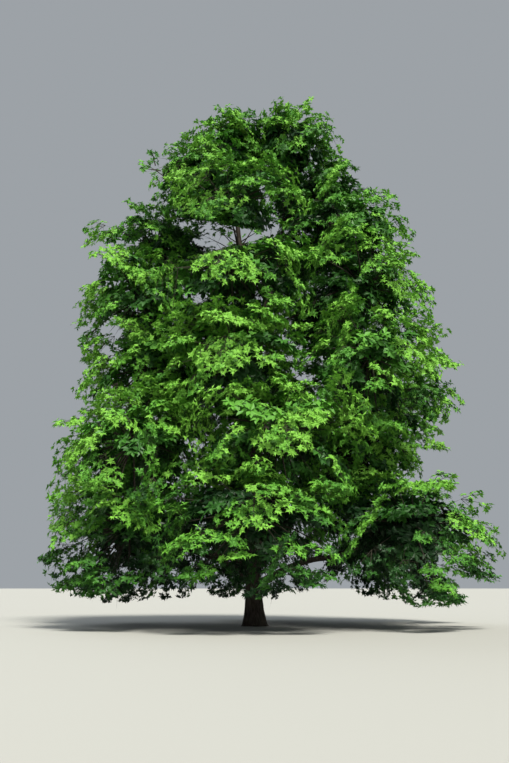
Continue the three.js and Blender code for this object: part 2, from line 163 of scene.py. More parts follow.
# %% Light and floor
KEY_STRENGTH = 6.4
BACK_STRENGTH = 0.9
SURROUND = (0.80, 0.86, 0.92)
SURROUND_STRENGTH = 0.42
FLOOR_COLOUR = (0.33, 0.33, 0.31, 1)
FLOOR_SIZE = 1200.0
FLOOR_DROP = 0.01


def far_light(name, strength, width, tilt, turn, colour):
    """A light from far off. width, tilt and turn are in degrees, and tilt 0 is straight down."""
    data = bpy.data.lights.new(name, "SUN")
    data.energy = strength
    data.angle = math.radians(width)
    data.color = colour
    light = bpy.data.objects.new(name, data)
    light.rotation_euler = (math.radians(tilt), 0, math.radians(turn))
    bpy.context.collection.objects.link(light)


far_light("key_light", KEY_STRENGTH, width=16, tilt=33, turn=20, colour=(1.0, 0.97, 0.88))
far_light("back_light", BACK_STRENGTH, width=40, tilt=50, turn=210, colour=(0.86, 0.93, 1.0))

surround = bpy.data.worlds.new("surround")
surround.use_nodes = True
sky = surround.node_tree.nodes["Background"]
sky.inputs["Color"].default_value = (*SURROUND, 1)
sky.inputs["Strength"].default_value = SURROUND_STRENGTH
bpy.context.scene.world = surround
bpy.context.scene.view_settings.view_transform = "Standard"
bpy.context.scene.view_settings.look = "None"

bpy.ops.mesh.primitive_plane_add(size=FLOOR_SIZE, location=(0, 0, -FLOOR_DROP))
floor = bpy.context.object
floor.name = "floor"
floor_finish = Finish("pale_floor", Base_Color=FLOOR_COLOUR, Roughness=0.95)
floor.data.materials.append(floor_finish.material)
print("floor and", len(bpy.data.lights), "lights")

# %% [markdown]
# The upright limbs come first, because everything else hangs on them. The trunk is a line of
# centres with a radius at each height: it tapers, leans a little to -X, and spreads at the ground
# into a lobed flare. A second leader forks off at 12 m and makes the taller top.

# %% Trunk and leader as lines with radii
TRUNK_TOP = 20.0
TRUNK_RADIUS = 0.362
TRUNK_TOP_RADIUS = 0.062
FLARE_RADIUS = 0.158
FLARE_HEIGHT = 0.56
FLARE_LOBES = 5
LOBE_DEPTH = 0.17
LOBE_TURN = math.radians(205)
TRUNK_RINGS = [0, 0.13, 0.32, 0.6, 1.0, 1.6, 3.0, 6.0, 9.2, 12.5, 16.0, 17.4, TRUNK_TOP]
LEAN_HEIGHTS = [0, 6.0, 12.5, 16.0, 17.4, TRUNK_TOP]
LEAN_OFFSETS = [0, -0.16, -0.43, -0.61, -0.76, -0.59]
LEADER_FORK = 12.1
LEADER_TOP = np.array([1.42, -0.06, 20.05])
LEADER_RADIUS = 0.165
LEADER_TOP_RADIUS = 0.058
LEADER_LEAVING = np.array([0.9, 0, 1.3])  # from the fork to the first handle of its curve
LEADER_RISING = np.array([0.1, 0, 5.5])  # from the second handle to its top
LEADER_STEPS = 6
UP = np.array([0.0, 0.0, 1.0])
BACK = np.array([0.0, 1.0, 0.0])


def unit(v):
    return v / np.linalg.norm(v, axis=-1, keepdims=True)


def mix(a, b, t):
    return a + (b - a) * t


def curve(a, b, c, d, count):
    """Points on a cubic curve from a to d with the handles b and c."""
    t = np.linspace(0, 1, count + 1)[:, None]
    s = 1 - t
    return s**3 * a + 3 * s * s * t * b + 3 * s * t * t * c + t**3 * d


def trunk_at(z):
    return np.array([np.interp(z, LEAN_HEIGHTS, LEAN_OFFSETS), 0.0, z])


def trunk_radius(z):
    tapered = mix(TRUNK_RADIUS, TRUNK_TOP_RADIUS, z / TRUNK_TOP)
    return tapered + FLARE_RADIUS * np.exp(-z / FLARE_HEIGHT)


def leader_line(count):
    foot = trunk_at(LEADER_FORK)
    return curve(foot, foot + LEADER_LEAVING, LEADER_TOP - LEADER_RISING, LEADER_TOP, count)


limbs = {
    "trunk": {
        "points": np.array([trunk_at(z) for z in TRUNK_RINGS]),
        "radii": np.array([trunk_radius(z) for z in TRUNK_RINGS]),
    },
    "second_leader": {
        "points": leader_line(LEADER_STEPS),
        "radii": np.linspace(LEADER_RADIUS, LEADER_TOP_RADIUS, LEADER_STEPS + 1),
    },
}
print("trunk radius at the ground", round(float(limbs["trunk"]["radii"][0]), 3), "m")

# %% [markdown]
# Boughs leave the trunk in five tiers, and each ends in one mass of foliage: a rounded space
# whose long axis droops outwards, as a bough does under its leaves. Sizes and the order of the
# draws are those of the solids, so that both crowns fill the same room.

# %% Tiers of masses
ROOT_SPREAD = 0.9
ROOT_STEP = 0.618  # of the spread from root to root, so that no two of a tier lie level
REACH_RANGE = (0.985, 1.015)
HEIGHT_RANGE = (-0.22, 0.22)
LEADER_CLEAR = 1.5  # above the fork, from where boughs on its side grow from the leader
LEADER_SIDE = 0.3
TIER_SEED, MASS_SEED, TOP_SEED = 1000, 5000, 9010
# reach is that to +X, +Y, -X and -Y. size is that outwards, across and through.
TIERS = [
    dict(name="skirt", count=6, turn=30, height=3.95, root=1.5, droop=7,
         reach=[10.7, 9.5, 8.8, 9.3], size=[7.2, 8.0, 5.2]),
    dict(name="low", count=6, turn=38, height=7.15, root=4.3, droop=15,
         reach=[7.7, 8.8, 9.6, 9.1], size=[7.0, 7.8, 5.2]),
    dict(name="middle", count=6, turn=20, height=10.45, root=7.8, droop=18,
         reach=[10.2, 8.3, 8.0, 7.9], size=[6.7, 7.5, 5.1]),
    dict(name="high", count=5, turn=-30, height=13.7, root=11.3, droop=18,
         reach=[8.5, 7.6, 8.1, 7.3], size=[6.4, 7.9, 5.0]),
    dict(name="upper", count=4, turn=342, height=16.75, root=14.6, droop=20,
         reach=[7.15, 6.5, 7.8, 6.4], size=[6.2, 7.8, 4.9]),
]
TOPS = [
    dict(name="shoulder_foliage_left", parent="trunk", root=17.7,
         centre=[-2.5, -1.5, 18.8], out=[-0.77, -0.64, -0.3], size=[5.5, 6.5, 4.8]),
    dict(name="shoulder_foliage_right", parent="second_leader", root=17.9,
         centre=[3.0, 1.3, 19.3], out=[0.77, 0.64, -0.3], size=[5.2, 6.7, 4.9]),
    dict(name="top_foliage_left", parent="trunk", root=TRUNK_TOP,
         centre=[-1.25, 0, 21.0], out=[0, 0, 1], size=[5.0, 4.9, 4.6]),
    dict(name="top_foliage_right", parent="second_leader", root=20.05,
         centre=[1.75, -0.06, 21.15], out=[0, 0, 1], size=[5.2, 4.9, 4.9]),
]
FULLNESS = 3
TOP_FULLNESS = 2
RESEEDED = {"middle_foliage_3": 10, "middle_foliage_5": 10}


def seeded(seed):
    """Repeatable numbers from 0 to 1, the same draws as the solids took."""
    state = seed & 0xFFFFFFFF

    def chance():
        nonlocal state
        state = (state + 0x6D2B79F5) & 0xFFFFFFFF
        t = ((state ^ (state >> 15)) * (state | 1)) & 0xFFFFFFFF
        t ^= (t + (t ^ (t >> 7)) * (t | 61)) & 0xFFFFFFFF
        return ((t ^ (t >> 14)) & 0xFFFFFFFF) / 4294967296

    return chance


def reach_at(reach, azimuth):
    right, back, left, front = reach
    c, s = math.cos(azimuth), math.sin(azimuth)
    return c * c * (right if c > 0 else left) + s * s * (back if s > 0 else front)


def new_mass(outward, across, size, **rest):
    axes = np.array([outward, across, np.cross(outward, across)])
    return dict(axes=axes, radii=np.array(size) / 2, planes=[], **rest)


def tier_mass(tier, index):
    order = TIERS.index(tier)
    chance = seeded(TIER_SEED * order + index + 1)
    azimuth = math.radians(tier["turn"] + 360 * index / tier["count"])
    out = np.array([math.cos(azimuth), math.sin(azimuth), 0.0])
    reach = reach_at(tier["reach"], azimuth) * mix(*REACH_RANGE, chance())
    height = tier["height"] + mix(*HEIGHT_RANGE, chance())
    root = tier["root"] + ROOT_SPREAD * ((index * ROOT_STEP) % 1)
    from_leader = root > LEADER_FORK + LEADER_CLEAR and out[0] > LEADER_SIDE
    droop = math.radians(tier["droop"])
    name = f"{tier['name']}_foliage_{index + 1}"
    return new_mass(
        out * math.cos(droop) - UP * math.sin(droop), np.cross(UP, out), tier["size"],
        name=name, tier=tier["name"], bough=f"{tier['name']}_bough_{index + 1}",
        centre=out * (reach - tier["size"][0] / 2) + UP * height,
        seed=MASS_SEED + 100 * order + index + RESEEDED.get(name, 0),
        parent=limbs["second_leader" if from_leader else "trunk"], root=root, at_tip=False,
        fullness=FULLNESS,
    )


def top_mass(top, index):
    outward = unit(np.array(top["out"], float))
    at_tip = outward[2] == 1
    across = np.array([1.0, 0.0, 0.0]) if at_tip else unit(np.cross(UP, outward))
    return new_mass(
        outward, across, top["size"], name=top["name"], tier="top", bough=None,
        centre=np.array(top["centre"], float), seed=TOP_SEED + index,
        parent=limbs[top["parent"]], root=top["root"], at_tip=at_tip, fullness=TOP_FULLNESS,
    )


masses = [tier_mass(tier, index) for tier in TIERS for index in range(tier["count"])]
masses += [top_mass(top, index) for index, top in enumerate(TOPS)]
print(len(masses), "masses of foliage")

# %% [markdown]
# Neighbouring masses don't run into each other: leaves die in the shade where two boughs meet. So
# each pair shares a plane, and both keep clear of it. Planes also keep the masses off the upright
# limbs and out of the large opening, where the sky shows through the crown.

# %% The space of each mass
SPACE_GAP = 0.04
LIMB_GAP = 0.04
LIMB_SPAN = 3.6
MEETING = 0.7  # of their distance, below which two masses don't meet
LEAST_AWAY = 0.3
OPENING = (-1.35, 16.95, 0.45)  # X and Z where it crosses the trunk's plane, and radius


def surface_along(mass, ways):
    """Distance from the centre to the rounded surface, along one direction or many."""
    parts = np.abs(ways @ mass["axes"].T) / mass["radii"]
    return (parts ** mass["fullness"]).sum(axis=-1) ** (-1 / mass["fullness"])


def share_space(a, b):
    """Put a plane between two masses, where their surfaces would meet."""
    line = b["centre"] - a["centre"]
    distance = float(np.linalg.norm(line))
    line = line / distance
    ra, rb = surface_along(a, line), surface_along(b, line)
    if ra + rb < MEETING * distance:
        return
    at = a["centre"] + line * distance * ra / (ra + rb)
    a["planes"].append((line, line @ at - SPACE_GAP, True))
    b["planes"].append((-line, -(line @ at) - SPACE_GAP, True))


def limb_at(limb, z):
    points, radii = limb["points"], limb["radii"]
    above = np.flatnonzero(points[:, 2] >= z)
    k = max(1, int(above[0])) if len(above) else 1
    t = np.clip((z - points[k - 1, 2]) / (points[k, 2] - points[k - 1, 2]), 0, 1)
    return mix(points[k - 1], points[k], t), mix(radii[k - 1], radii[k], t)


def keep_from_limb(mass, limb):
    centre = mass["centre"]
    near = np.abs(limb["points"][:, 2] - centre[2]) < mass["radii"][2] + LIMB_SPAN
    away = (limb_at(limb, centre[2])[0] - centre) * [1, 1, 0]
    if not near.any() or np.linalg.norm(away) < LEAST_AWAY:
        return
    away = unit(away)
    offset = (limb["points"][near] @ away - limb["radii"][near]).min()
    mass["planes"].append((away, offset - LIMB_GAP, False))


def keep_from_opening(mass, opening):
    x, z, radius = opening
    line = unit(np.array([x, 0, z]) - EYE)
    nearest = EYE + line * ((mass["centre"] - EYE) @ line)
    away = nearest - mass["centre"]
    distance = np.linalg.norm(away)
    away = away / distance
    if distance - radius <= surface_along(mass, away):
        mass["planes"].append((away, away @ nearest - radius, False))


def space_along(mass, ways, past=0.0):
    """Distance from the centre to the edge of the mass's own space, along many directions.

    past lets it reach that far over the planes that it shares with its neighbours."""
    distance = surface_along(mass, ways)
    for normal, offset, shared in mass["planes"]:
        rate = ways @ normal
        room = (offset + past * shared - normal @ mass["centre"]) / np.where(rate > 1e-6, rate, 1)
        distance = np.where(rate > 1e-6, np.minimum(distance, room), distance)
    return distance


for i, mass in enumerate(masses):
    for other in masses[i + 1:]:
        share_space(mass, other)
for mass in masses:
    if not mass["at_tip"]:
        for limb in limbs.values():
            keep_from_limb(mass, limb)
    keep_from_opening(mass, OPENING)
print("planes a mass:", round(sum(len(m["planes"]) for m in masses) / len(masses), 1))

# %% [markdown]
# A bough rises from the trunk and levels off, a cubic curve from its root to the point where it
# enters its mass. Inside the mass it goes on as a stem, which the twigs of that mass leave.

# %% Boughs and stems
JOINT_GAP = 0.00035
BOUGH_SHARE = 0.42
BOUGH_TAPER = 0.55
BOUGH_RISE = [0.35, 0.35, 0.55]  # first handle of its curve, as a share of its run
BOUGH_LEVEL = [0.72, 0.72, 0.98]  # second handle
LEAST_BOUGH = 0.055
SOLID_BOUGH_STEPS = 3
INWARD, DOWNWARD = 0.96, 0.28  # way from a mass's centre to where its bough comes in
FITTED = 0.97
STEM_REACH = 0.45
STEM_LEAVING = 0.32
STEM_MIDDLE = 0.1
STEM_TAPER = np.array([1, 0.94, 0.8, 0.5])
LEAST_STEM = 0.05


def entry_of(mass):
    foot, _ = limb_at(mass["parent"], mass["root"])
    inward = unit((foot - mass["centre"]) * [1, 1, 0])
    inward = unit(inward * INWARD - UP * DOWNWARD)
    return mass["centre"] + inward * FITTED * space_along(mass, inward)


def bough_line(mass, count):
    foot, radius = limb_at(mass["parent"], mass["root"])
    entry = entry_of(mass)
    run = entry - foot
    points = curve(foot, foot + run * BOUGH_RISE, foot + run * BOUGH_LEVEL, entry, count)
    base = max(radius * BOUGH_SHARE, LEAST_BOUGH)
    return {"points": points, "radii": np.linspace(base, base * BOUGH_TAPER, count + 1)}


def stem_line(mass):
    outward, centre = mass["axes"][0], mass["centre"]
    end = centre + outward * STEM_REACH * space_along(mass, outward)
    base = mass["solid_bough"] if mass["bough"] else mass["parent"]
    if mass["bough"] or mass["at_tip"]:
        start = unit(base["points"][-1] - base["points"][-2])
        start = UP if mass["at_tip"] and base is limbs["trunk"] else start
        origin, radius = base["points"][-1] + start * JOINT_GAP, FITTED * base["radii"][-1]
    else:
        start = outward
        origin, radius = limb_at(base, mass["root"])
        radius = FITTED * max(radius * BOUGH_SHARE, LEAST_STEM)
    points = np.array([origin, origin + start * STEM_LEAVING, mix(centre, end, STEM_MIDDLE), end])
    return {"points": points, "radii": radius * STEM_TAPER}


for mass in masses:
    if mass["bough"]:
        mass["solid_bough"] = bough_line(mass, SOLID_BOUGH_STEPS)
    mass["stem"] = stem_line(mass)
all_limbs = list(limbs.values()) + [m["solid_bough"] for m in masses if m["bough"]]
print(len(all_limbs), "limbs and", len(masses), "stems")

# %% [markdown]
# The bark is given the colours of oak bark in deep shade, so painted shade darkens it to nearly
# black-brown, with grey ridges between upright furrows and thin patches of algae. Stretched noise
# holds up at every distance, as a picture would not: a slow one sets the ridges, a quick one the
# grain, and both drive colour and bump.

# %% Bark finish
# Colours of bark in deep shade: painted shade darkens furrow, ridge and algae alike.
FURROW = (0.012, 0.009, 0.007, 1)
RIDGE = (0.072, 0.058, 0.045, 1)
BLOOM = (0.050, 0.062, 0.034, 1)
STRETCH = (1, 1, 0.16)
RIDGE_SHARE = 0.75
RIDGE_LOW, RIDGE_HIGH = 0.36, 0.64  # heights that are fully furrow and fully ridge
BLOOM_LOW, BLOOM_HIGH, BLOOM_MOST = 0.52, 0.72, 0.45

bark = Finish("oak_bark", Roughness=0.92, Specular_IOR_Level=0.22)
place = bark.node("ShaderNodeTexCoord", output=3)
upright = bark.node("ShaderNodeMapping", {"vector_type": "POINT"}, {0: place, 3: STRETCH})
ridges = bark.node(
    "ShaderNodeTexNoise", {}, {"Vector": upright, "Scale": 17, "Detail": 5, "Roughness": 0.62})
grain = bark.node(
    "ShaderNodeTexNoise", {}, {"Vector": upright, "Scale": 95, "Detail": 4, "Roughness": 0.7})
patches = bark.node("ShaderNodeTexNoise", {}, {"Vector": place, "Scale": 1.7, "Detail": 3})
height = ridges * RIDGE_SHARE + grain * (1 - RIDGE_SHARE)
contrast = bark.node(
    "ShaderNodeMapRange", {"clamp": True}, {0: height, 1: RIDGE_LOW, 2: RIDGE_HIGH})
bloom_share = bark.node(
    "ShaderNodeMapRange", {"clamp": True}, {0: patches, 1: BLOOM_LOW, 2: BLOOM_HIGH, 4: BLOOM_MOST})
ridge_colour = bark.blend(bloom_share, RIDGE, BLOOM)
bark.set(
    Base_Color=bark.blend(contrast, FURROW, ridge_colour),
    Roughness=0.97 - contrast * 0.14,
    Normal=bark.node("ShaderNodeBump", {}, {"Strength": 0.6, "Distance": 0.02, "Height": height}),
)
twig_finish = Finish("twig_bark", Base_Color=(0.030, 0.026, 0.018, 1), Roughness=0.85,
                     Specular_IOR_Level=0.25)
print("bark has", len(bark.tree.nodes), "nodes")

# %% [markdown]
# Every piece here is a mesh joined from arrays, which Blender takes in one call however many faces
# it has. A tube is rings of corners along a line, in a frame that is square to it.

# %% Meshes and tubes from arrays


def joined_mesh(name, corners, faces, finishes, choice=None, smooth=False):
    mesh = bpy.data.meshes.new(name)
    mesh.from_pydata(corners, [], faces)
    for finish in finishes:
        mesh.materials.append(finish.material)
    if choice is not None:
        mesh.polygons.foreach_set("material_index", choice.astype(np.int32))
    mesh.polygons.foreach_set("use_smooth", np.full(len(mesh.polygons), smooth))
    mesh.update()
    piece = bpy.data.objects.new(name, mesh)
    bpy.context.collection.objects.link(piece)
    return piece


def frames_along(points, reference):
    """Two directions square to a line at each of its points."""
    runs = unit(np.gradient(points, axis=0))
    across = unit(np.cross(reference, runs))
    return across, np.cross(runs, across)


def rings_round(points, wide, a, b, angles):
    """Rings of corners round a line, in the directions a and b, as wide as given."""
    c, s = np.cos(angles)[None, :, None], np.sin(angles)[None, :, None]
    return points[:, None] + wide[..., None] * (a[:, None] * c + b[:, None] * s)


def tube_faces(rings, sides):
    k, j = np.meshgrid(np.arange(rings - 1), np.arange(sides), indexing="ij")
    a = k * sides + j
    b = k * sides + (j + 1) % sides
    quads = np.stack([a, b, b + sides, a + sides], axis=-1).reshape(-1, 4)
    return np.concatenate([quads[:, [0, 1, 2]], quads[:, [0, 2, 3]]])


def many(corners, faces):
    """Corners of many like parts, stacked by part, with the faces of one part repeated."""
    first = corners.shape[1] * np.arange(len(corners))[:, None, None]
    return corners.reshape(-1, 3), (np.array(faces)[None] + first).reshape(-1, 3)


def joined(parts):
    """Corners and faces of many parts as one pair of arrays."""
    starts = np.cumsum([0] + [len(corners) for corners, _ in parts[:-1]])
    corners = np.concatenate([corners for corners, _ in parts])
    return corners, np.concatenate([faces + start for (_, faces), start in zip(parts, starts)])


print("tube of 2 rings and 3 sides has", len(tube_faces(2, 3)), "faces")

# %% [markdown]
# The relief of the bark is real geometry, since a bump alone leaves a smooth outline. Each corner
# of a limb is drawn in by a ridged noise that is stretched upright, so furrows run up the trunk.

# %% Limbs with bark relief
TRUNK_SIDES = 100
FINE_TOP, FINE_STEP = 2.6, 0.03  # rings lie close up to this height, where the trunk shows
COARSE_RINGS = 48
LEADER_RINGS = 60
BOUGH_RINGS = 22
FURROW_DEPTH = 0.045  # of the limb's radius
LEAST_FURROW = 0.004
NOISE_BY_RADIUS, NOISE_LEAST, NOISE_ALONG = 9, 1.5, 2.2
NOISE_MOST = 2.2
RIDGED = (0.9, 2.1, 3, 1.0, 2.0)  # dimension, lacunarity, octaves, offset and gain


def relief(angles, run, radius):
    """From 0 in a furrow to 1 on a ridge, at each angle and length along a limb."""
    ridge = np.empty((len(run), len(angles)))
    for k, (length, r) in enumerate(zip(run, radius)):
        wide = r * NOISE_BY_RADIUS + NOISE_LEAST
        for j, angle in enumerate(angles):
            spot = Vector((wide * math.cos(angle), wide * math.sin(angle), length * NOISE_ALONG))
            ridge[k, j] = noise.ridged_multi_fractal(spot, *RIDGED)
    return np.clip(ridge / NOISE_MOST, 0, 1)


def barked_limb(points, radii, sides, reference=None, shape=None):
    """Corners and faces of a furrowed limb, closed at both ends. No reference gives level rings."""
    angles = 2 * math.pi * np.arange(sides) / sides
    run = np.concatenate([[0], np.cumsum(np.linalg.norm(np.diff(points, axis=0), axis=1))])
    furrow = 1 - relief(angles, run, radii)
    wide = radii[:, None] * (shape(angles, run) if shape else 1)
    wide = wide * (1 - FURROW_DEPTH * furrow) - LEAST_FURROW * furrow
    if reference is None:
        a, b = (np.tile(way, (len(points), 1)) for way in ([1.0, 0, 0], [0, 1.0, 0]))
    else:
        a, b = frames_along(points, reference)
    rings = rings_round(points, wide, a, b, angles)
    corners = np.concatenate([rings.reshape(-1, 3), points[:1], points[-1:]])
    foot = len(points) * sides
    j = np.arange(sides)
    after, top = (j + 1) % sides, (len(points) - 1) * sides
    low = np.stack([np.full(sides, foot), after, j], axis=-1)
    high = np.stack([np.full(sides, foot + 1), top + j, top + after], axis=-1)
    return corners, np.concatenate([tube_faces(len(points), sides), low, high])


def flare(angles, run):
    """Share of the trunk's radius, lobed towards the ground."""
    wave = np.cos(FLARE_LOBES * (angles - LOBE_TURN))[None]
    return 1 + LOBE_DEPTH * np.exp(-run / FLARE_HEIGHT)[:, None] * wave


trunk_heights = np.concatenate([
    np.arange(0, FINE_TOP, FINE_STEP), np.linspace(FINE_TOP, TRUNK_TOP, COARSE_RINGS)])
trunk_surface = barked_limb(
    np.array([trunk_at(z) for z in trunk_heights]),
    np.interp(trunk_heights, TRUNK_RINGS, limbs["trunk"]["radii"]),
    TRUNK_SIDES, shape=flare,
)
trunk_piece = joined_mesh("trunk_bark", *trunk_surface, [bark], smooth=True)

leader_radii = np.linspace(LEADER_RADIUS, LEADER_TOP_RADIUS, LEADER_RINGS + 1)
leader_surface = barked_limb(leader_line(LEADER_RINGS), leader_radii, sides=30, reference=BACK)
leader_piece = joined_mesh("second_leader_bark", *leader_surface, [bark], smooth=True)

bough_pieces = {}
for tier in TIERS:
    parts = []
    for mass in (m for m in masses if m["tier"] == tier["name"]):
        line = bough_line(mass, BOUGH_RINGS)
        parts.append(barked_limb(line["points"], line["radii"], sides=14, reference=UP))
    name = f"{tier['name']}_bough_bark"
    bough_pieces[tier["name"]] = joined_mesh(name, *joined(parts), [bark], smooth=True)
barked = [trunk_piece, leader_piece, *bough_pieces.values()]
print("bark faces", sum(len(piece.data.polygons) for piece in barked))

# %% [markdown]
# Twigs leave the stem of a mass in the directions of the solids, spread by the golden angle from
# the outward axis back. The solids stop there, with three blades for the sprays at a twig's end.
# The same rule is run again with more and shorter twigs for the gaps between, and every blade
# becomes a spray: an axis with side twigs to left and right inside the blade's outline.

# %% Directions of the twigs
GOLDEN_ANGLE = math.pi * (3 - math.sqrt(5))
TWIG_SPACE = 2.95
FEWEST_TWIGS = 7
TURN_SPREAD = (-0.25, 0.25)
ROLL_SPREAD = (-0.45, 0.45)


def twig_count(mass):
    depth, width, thick = mass["radii"]
    face = 2 * (width * thick + 0.5 * depth * (width + thick))
    return max(FEWEST_TWIGS, math.floor(face / TWIG_SPACE**2 + 0.5))


def twig_ways(mass, count, seed, spread):
    """Directions and rolls of a mass's twigs, from straight out along its axis to a little back."""
    chance = seeded(seed)
    ways, rolls = [], []
    for k in range(count):
        forward = 1 - spread * k / (count - 1)
        turn = k * GOLDEN_ANGLE + mix(*TURN_SPREAD, chance()) + seed
        rolls.append(mix(*ROLL_SPREAD, chance()))
        side = math.sqrt(max(0, 1 - forward * forward))
        parts = np.array([forward, side * math.cos(turn), side * math.sin(turn)])
        ways.append((parts * mass["radii"]) @ mass["axes"])
    return unit(np.array(ways)), np.array(rolls)


print("twigs of the solids:", sum(twig_count(mass) for mass in masses))

# %% [markdown]
# Sprays lean over from their twigs, outwards above and downwards at the side, so that they lie
# like shingles and face the light. Rank 0 are the twigs of the solids at the surface of a mass,
# rank 1 the finer ones between them, and rank 2 those deep inside. The rank also decides the
# shape and tint of the leaves.

# %% Sprays of every mass
# Per rank: twigs against the solids' own, how far back they go, least and most share of the
# space, how far over a shared plane they reach, and the length and turns of their sprays.
RANKS = [
    dict(extra=1.0, seed=0, spread=1.3, share=(0.955, 0.955), past=0,
         length=1.9, turns=[0, 52, -52]),
    dict(extra=3.4, seed=411, spread=1.85, share=(0.78, 0.98), past=0.4,
         length=1.05, turns=[0, 50, -50]),
    dict(extra=2.2, seed=733, spread=2.0, share=(0.42, 0.78), past=0.5,
         length=1.45, turns=[0, 62, -62]),
]
SPRAY_SLOPE = 0.5
LEAN_OUT, LEAN_DOWN = 0.8, 0.6
LEVELLING = 1.6  # how far the finer sprays turn their faces up
LONGEST = 0.75  # of the way from a mass's centre to its surface
SIDE_SPRAY = 0.88  # of the rank's length
TURN_SWING = 9  # degrees
SIZES = (0.85, 1.05)


def turned(v, axis, angle):
    """v turned about an axis, for one angle in radians or many."""
    c, s = np.cos(angle)[..., None], np.sin(angle)[..., None]
    return v * c + np.cross(axis, v) * s + axis * (axis * v).sum(-1, keepdims=True) * (1 - c)


def spray_heading(mass, ways):
    flat = unit(mass["centre"] * [1, 1, 0]) if np.linalg.norm(mass["centre"][:2]) > 0.01 else UP
    lean = flat * LEAN_OUT - UP * LEAN_DOWN
    lean = lean - ways * (ways @ lean)[:, None]
    return unit(ways + SPRAY_SLOPE * unit(lean))


def stacked(tables):
    return {key: np.concatenate([table[key] for table in tables]) for key in tables[0]}


def marked(sprays, number, rank, loose=False):
    """Sprays with their mass and rank, and whether they stand clear of the mass."""
    count = len(sprays["root"])
    return dict(sprays, mass=np.full(count, number), rank=np.full(count, rank),
                loose=np.full(count, loose))


def sprays_of(mass, number, order, draw):
    """The sprays of one rank in a mass, and the branches from its stem to them."""
    rank = RANKS[order]
    count = round(twig_count(mass) * rank["extra"])
    ways, rolls = twig_ways(mass, count, mass["seed"] + rank["seed"], rank["spread"])
    reach = space_along(mass, ways, rank["past"])[:, None]
    tips = mass["centre"] + ways * draw.uniform(*rank["share"], (count, 1)) * reach
    heading = spray_heading(mass, ways)
    length = np.minimum(rank["length"], LONGEST * reach)
    ends = tips - heading * length
    across = unit(np.cross(ways + (LEVELLING * UP if rank["seed"] else 0), heading))
    face = turned(np.cross(heading, across), heading, rolls)
    rows = []
    for turn in rank["turns"]:
        angle = np.radians(turn + draw.uniform(-TURN_SWING, TURN_SWING, count))
        toward = turned(heading, face, angle)
        full = length if turn == 0 else np.full((count, 1), SIDE_SPRAY * rank["length"])
        size = full * draw.uniform(*SIZES, (count, 1))
        rows.append(dict(root=ends, toward=toward, face=face, length=size[:, 0]))
    return marked(stacked(rows), number, order), branches_to(ends, mass, number)


def branches_to(ends, mass, number):
    start = mass["stem"]["points"][2]
    return np.tile(start, (len(ends), 1)), ends, np.full(len(ends), number)


print("ranks of sprays:", len(RANKS))

# %% [markdown]
# An open-grown oak carries level plates of leaves low on the outer side of each bough, where
# light comes in under the bough above. The twigs alone leave that side thin, so each mass gets a
# few level sprays more, the lower its tier the more.

# %% Level sprays on the outer side
APRONS = dict(skirt=12, low=8, middle=5, high=2)  # for each mass of a tier
APRON_PARTS = [(0.3, 1), (-0.85, 0.85), (-0.8, -0.1)]  # outwards, across and up, of its size
APRON_SHARE = (0.86, 0.955)
APRON_PAST = 0.4
APRON_FALL = (0.05, 0.3)
APRON_ROLL = 0.15
APRON_LENGTHS = (1.1, 1.5)


def apron_of(mass, number, draw):
    count = APRONS.get(mass["tier"], 0)
    parts = np.column_stack([draw.uniform(*part, count) for part in APRON_PARTS])
    ways = unit((parts * mass["radii"]) @ mass["axes"])
    reach = draw.uniform(*APRON_SHARE, count) * space_along(mass, ways, APRON_PAST)
    tips = mass["centre"] + ways * reach[:, None]
    toward = unit(ways * [1, 1, 0] - UP * draw.uniform(*APRON_FALL, (count, 1)))
    face = UP + draw.normal(0, APRON_ROLL, (count, 3))
    face = unit(face - toward * (face * toward).sum(axis=1, keepdims=True))
    length = draw.uniform(*APRON_LENGTHS, count)
    roots = tips - toward * length[:, None]
    made = dict(root=roots, toward=toward, face=face, length=length)
    return marked(made, number, 0), branches_to(roots, mass, number)


print("level sprays:", sum(APRONS.get(mass["tier"], 0) for mass in masses))

# %% [markdown]
# Some branches show one by one: a fan beside the trunk with the sky behind it, a sprig off the
# left shoulder, and sprays on the open side of the leader, between the masses of the top. They
# belong to no mass, so their places are listed.

# %% Sprays that stand clear of the masses
FAN = [  # height on the trunk, degrees from upright, and length
    (15.7, -62, 1.7), (15.9, 48, 1.5), (16.1, -40, 1.9), (16.3, 30, 1.6), (16.5, -54, 1.3),
    (16.6, 55, 1.2), (16.8, -26, 1.3), (15.5, -72, 2.4), (16.0, -58, 2.2), (17.1, -66, 1.7),
    (15.6, 66, 1.4),
]
FAN_FORWARD = -0.12
LEADER_SPRAYS = [  # height on the leader, degrees round from +X, and length
    (17.5, -60, 1.7), (17.7, -88, 1.8), (17.9, -35, 1.5), (18.1, -104, 1.5), (18.3, -72, 1.6),
    (18.6, -45, 1.7), (18.8, -96, 1.4), (19.0, -62, 1.5), (19.3, -32, 1.3), (19.5, -80, 1.3),
]
SPRAY_RISE = 0.35
SPRIG = ([(-3.7, -1.5, 18.9), (-4.1, -1.5, 19.35), (-4.35, -1.5, 19.6)],
         [(-4.95, -1.5, 19.95), (-4.9, -1.6, 19.5), (-4.5, -1.6, 20.3)])
TO_THE_FRONT, TO_THE_LIGHT = [0.2, -0.7, 0.7], [0.2, -0.4, 0.9]


def loose_sprays(mass_name, rank, roots, ends, face):
    """Single sprays from roots to ends, counted with a mass but free of its space."""
    run = np.array(ends) - np.array(roots)
    heading = unit(run)
    made = dict(
        root=np.array(roots), toward=heading, length=np.linalg.norm(run, axis=1),
        face=unit(np.cross(np.cross(heading, face), heading)),
    )
    return marked(made, [mass["name"] for mass in masses].index(mass_name), rank, loose=True)


def fan_way(turn):
    return np.array([math.sin(turn), FAN_FORWARD, math.cos(turn)])


def leader_way(turn):
    return unit(np.array([math.cos(turn), math.sin(turn), SPRAY_RISE]))


def along_limb(entries, foot_at, way_at):
    feet = [foot_at(z) for z, _, _ in entries]
    runs = [length * way_at(math.radians(turn)) for _, turn, length in entries]
    return feet, [foot + run for foot, run in zip(feet, runs)]


